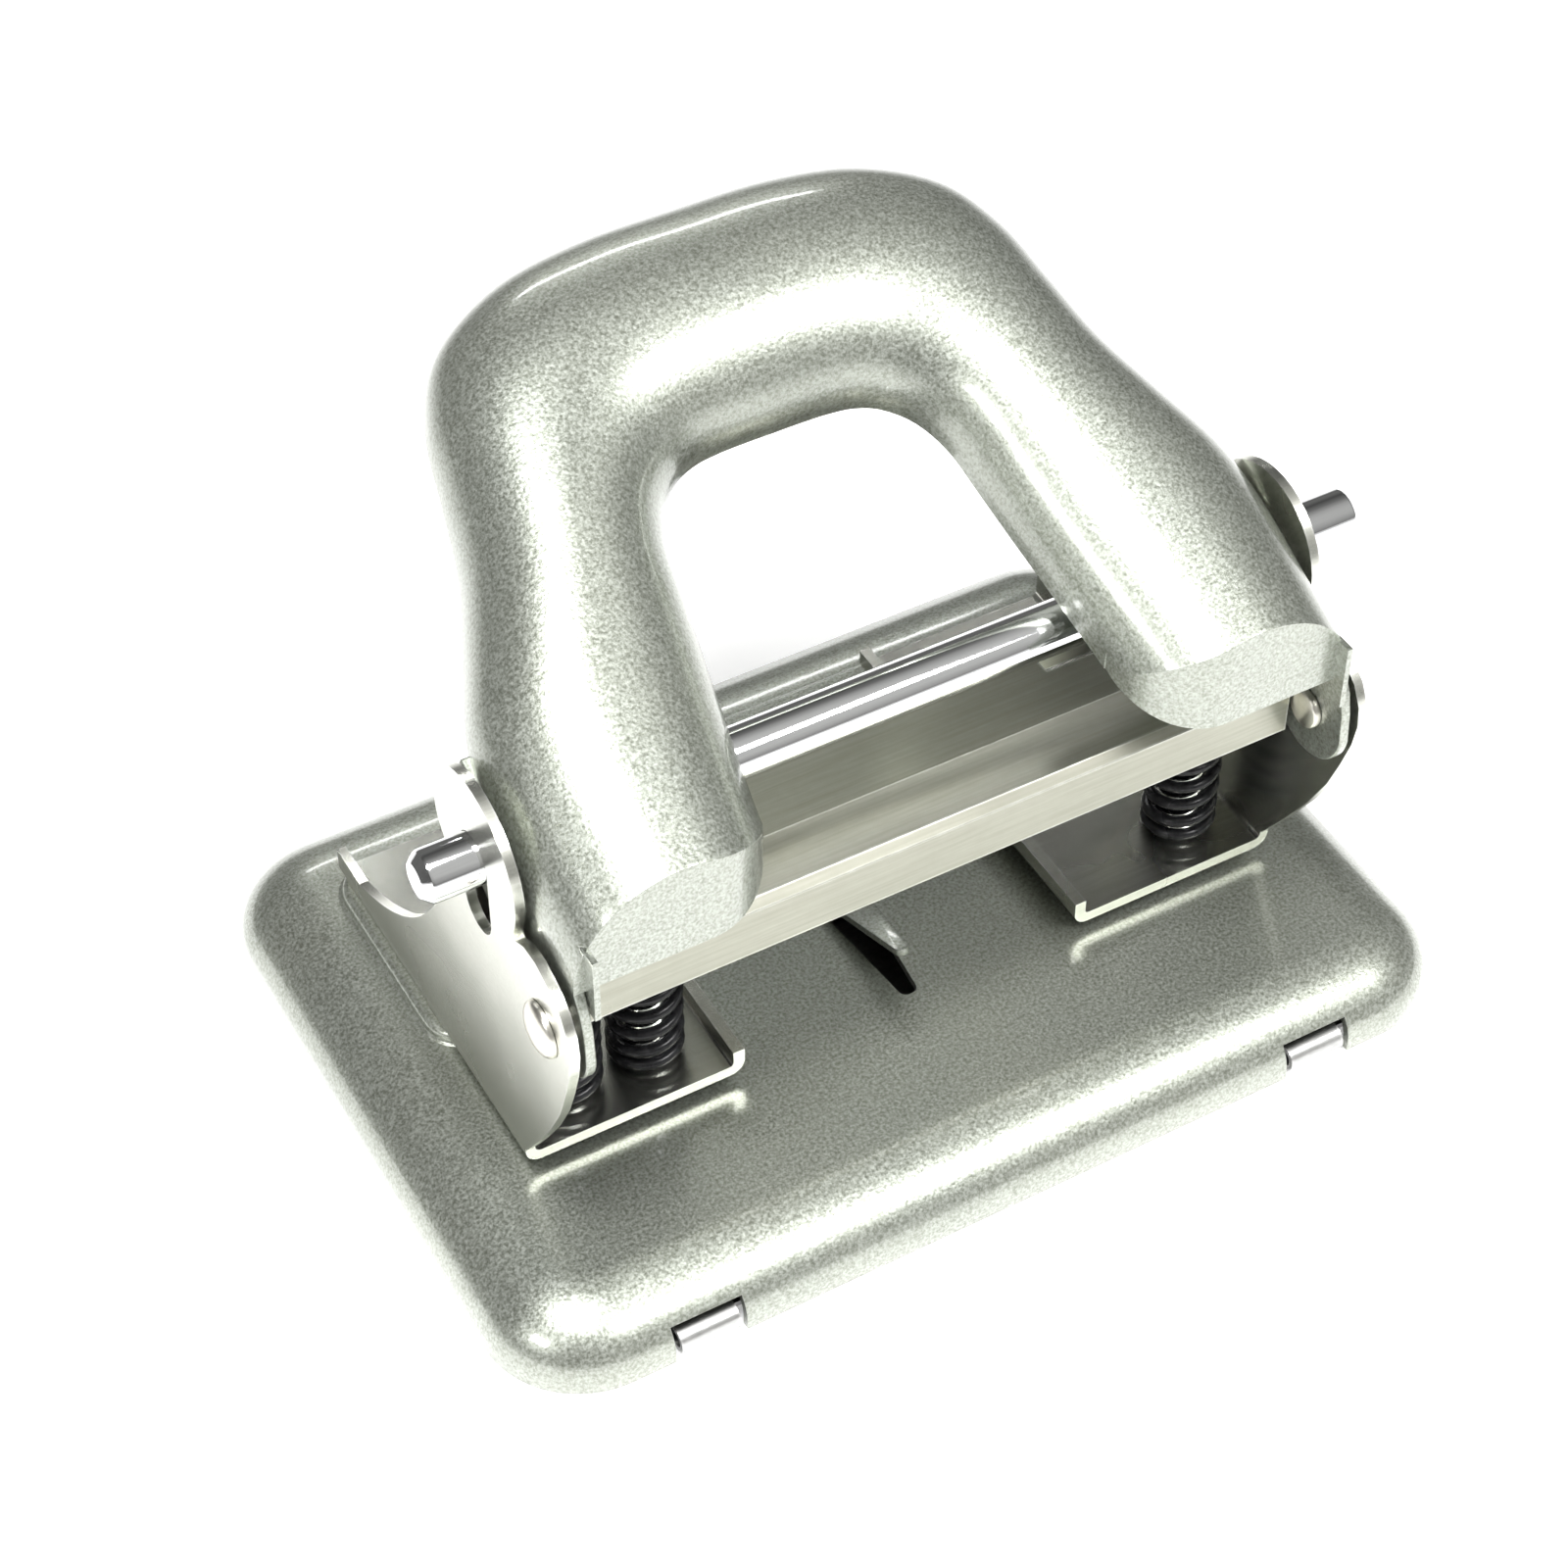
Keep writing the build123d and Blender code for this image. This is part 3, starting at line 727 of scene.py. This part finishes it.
# %% [markdown]
# ## Lathed pieces
# The drive rod and the rivets are round, so each is half a profile spun round its own axis. The rod has a
# turned neck, and its ends are chamfered. The rivets have a low dome outside and a small
# upset head inside.


# %% Lathe helper, rod and rivets
def lathe(name, profile, centre):
    """Spins (x, radius) points round an axis along X through a (y, z) centre."""
    bm = bmesh.new()
    verts = [bm.verts.new(Vector((x, centre[0], centre[1] + r)) * MM) for x, r in profile]
    for first, second in zip(verts, verts[1:]):
        bm.edges.new((first, second))
    axis_at = Vector((0, *centre)) * MM
    bmesh.ops.spin(bm, geom=bm.verts[:] + bm.edges[:], cent=axis_at, axis=(1, 0, 0), angle=2 * math.pi,
                   steps=48, use_merge=True)
    bmesh.ops.remove_doubles(bm, verts=bm.verts, dist=0.002 * MM)
    bmesh.ops.recalc_face_normals(bm, faces=bm.faces)
    return to_object(name, bm)


def dome(x, radius, rise, count=10):
    """Profile points of a low dome from its rim to its middle."""
    return [(x + rise * math.sin(math.pi / 2 * i / count), radius * math.cos(math.pi / 2 * i / count))
            for i in range(count + 1)]


rod_left, rod_right = -54.4, 58.8
rod_profile = [(rod_left, 0), (rod_left, 2.0), (rod_left + 0.2, 2.2)]
rod_profile += [(rod_left + 0.9, 2.8), (rod_left + 1.2, 2.9)]
rod_profile += [(-37.9, 2.9), (-37.7, 2.8), (-37.7, 1.5), (-27.1, 1.5), (-27.1, 2.8), (-26.9, 2.9)]
rod_profile += [(rod_right - 1.2, 2.9), (rod_right - 0.9, 2.8)]
rod_profile += [(rod_right - 0.2, 2.2), (rod_right, 2.0), (rod_right, 0)]
hand_over(lathe("rod_turned", rod_profile, rod_at), "rod", "polished_rod", "drive_rod", sharp=20)
for side in (-1, 1):
    profile = [(44.1, 0), (44.1, 2.1), (44.3, 2.3), (44.9, 2.3), (44.9, 2.0), (48.05, 2.0), (48.05, 3.2)]
    profile += dome(48.2, 3.2, 1.25)
    label = "left" if side < 0 else "right"
    rivet = lathe("rivet_domed_" + label, [(side * x, r) for x, r in profile], pivot)
    hand_over(rivet, "frame", "bright_rivet", "pivot_rivet_" + label, sharp=70)

# %% [markdown]
# ## Springs
# A coil spring is a small circle spun round the pin while it climbs. Real ones end in closed coils that lie
# flat, so three spins follow each other: a slow climb, the open coils, and a slow climb again. A spring can't
# follow a joint as a whole, so it rides on the frame and gets a mesh of its own.

# %% Springs with closed ends
wire, mean_radius, low, high = 1.4, 3.7, 11.0, 37.0
steps_per_turn = 28
coils = ((1.1, 0.058), (7.8, 0.884), (1.1, 0.058))  # turns, and share of the climb
for label, x in pin_x.items():
    bm = bmesh.new()
    start = Vector((x + mean_radius, pin_y, low + wire / 2)) * MM
    bmesh.ops.create_circle(bm, segments=12, radius=wire / 2 * MM, cap_ends=True,
                            matrix=Matrix.Translation(start) @ Matrix.Rotation(math.pi / 2, 4, "X"))
    tip = list(bm.faces)
    climb = high - low - wire
    for turns, share in coils:
        steps = round(turns * steps_per_turn)
        rise_per_step = climb * share / steps
        spun = bmesh.ops.spin(bm, geom=tip, cent=Vector((x, pin_y, 0)) * MM, axis=(0, 0, 1),
                              dvec=(0, 0, rise_per_step * MM), angle=2 * math.pi * turns, steps=steps)
        tip = [g for g in spun["geom_last"] if isinstance(g, bmesh.types.BMFace)]
    bmesh.ops.recalc_face_normals(bm, faces=bm.faces)
    coil = to_object("spring_coil_" + label, bm)
    hand_over(coil, "frame", "black_spring", "punch_spring_" + label, sharp=60)
    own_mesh(coil)

# %% [markdown]
# ## Brackets
# Each bracket is one sheet bent into a shallow channel, with one side left tall as the ear. The channel is a
# bent profile pulled along Y, so that its folds have a real radius. The ear is a flat outline joined to it.
# The pin holes and the rod's slot are cut last, and a fine bevel rolls every cut edge.


# %% Channel and ear outlines
def fold(centre, radius, start, end):
    """Points round a fold of the sheet, in the (x, z) plane."""
    return arc(centre, radius, start, end, 6)


channel_points = [(48.0, 14.0)] + fold((46.2, 11.3), 1.8, 0, -90) + fold((23.2, 11.3), 1.8, -90, -180)
channel_points += [(21.4, 13.0), (22.8, 13.0)] + fold((23.3, 11.4), 0.5, 180, 270)
channel_points += fold((46.2, 11.6), 0.7, -90, 0) + [(46.9, 14.0)]
ear_points = [(30.0, 12.0), (28.8, 12.9)] + arc((37.3, 54.4), 42.6, 256, 191, 14)
ear_points += arc((-11.5, 51.8), 9.2, -20, 205, 26)
ear_points += [(-20.1, 46.9), (-22.0, 47.9), (-24.6, 48.0), (-27.5, 46.9), (-29.8, 45.1)]
ear_points += [(-31.1, 42.7), (-31.4, 40.2), (-30.9, 37.0), (-29.6, 32.8), (-28.0, 28.4)]
ear_points += [(-25.4, 23.2), (-21.9, 17.4), (-18.4, 12.0)]
rod_slot_points = arc(rod_at, 3.0, 0, 180, 16) + arc((pin_y, 43.4), 3.0, 180, 360, 16)
bracket_front, bracket_depth, pin_hole = -18.2, 48.2, 2.78
print("ear points:", len(ear_points))

# %% Brackets
for side in (-1, 1):
    label = "left" if side < 0 else "right"
    channel = [(side * x, bracket_front, z) for x, z in channel_points]
    bracket = solid("bracket_" + label + "_bent", pull, channel, (0, bracket_depth, 0))
    cut(bracket, solid("ear", side_outline, ear_points, side * 46.9, side * 48.0), "UNION")
    cut(bracket, solid("rod_slot", side_outline, rod_slot_points, *sorted((side * 46.0, side * 49.0))))
    for x in pin_x.values():
        if x * side > 0:
            cut(bracket, solid("pin_hole", drill, x, 10, pin_hole, 5, 36))
    round_edges(bracket, 0.4, 3, 50, harden=True)
    hand_over(bracket, "frame", "satin_plate", label + "_bracket", sharp=40)

# %% [markdown]
# ## Sheet-metal pieces
# The crossbar and the chip cover are bent sheet too, and their CAD shapes are right. Real sheet has
# no perfectly sharp edge, though, and an edge that isn't rounded catches no light. So each is copied, its
# loose triangles are merged back into faces, and a fine bevel rounds its edges.


# %% Rounded copies
def softened(node, name, body, slot, width):
    """A copy of a CAD piece with its faces merged and its edges rounded."""
    bm = bmesh.new()
    bm.from_mesh(frame["nodes"][node].data)
    bmesh.ops.remove_doubles(bm, verts=bm.verts, dist=0.004 * MM)
    bmesh.ops.dissolve_limit(bm, angle_limit=math.radians(1.0), verts=bm.verts, edges=bm.edges)
    bmesh.ops.recalc_face_normals(bm, faces=bm.faces)
    piece = to_object(name, bm)
    round_edges(piece, width, 3, 32, harden=True)
    hand_over(piece, body, slot, node, sharp=32)


softened("crossbar", "crossbar_bent", "frame", "dull_steel", 0.25)
softened("bottom_cover", "chip_cover", "cover", "plated_sheet", 0.12)
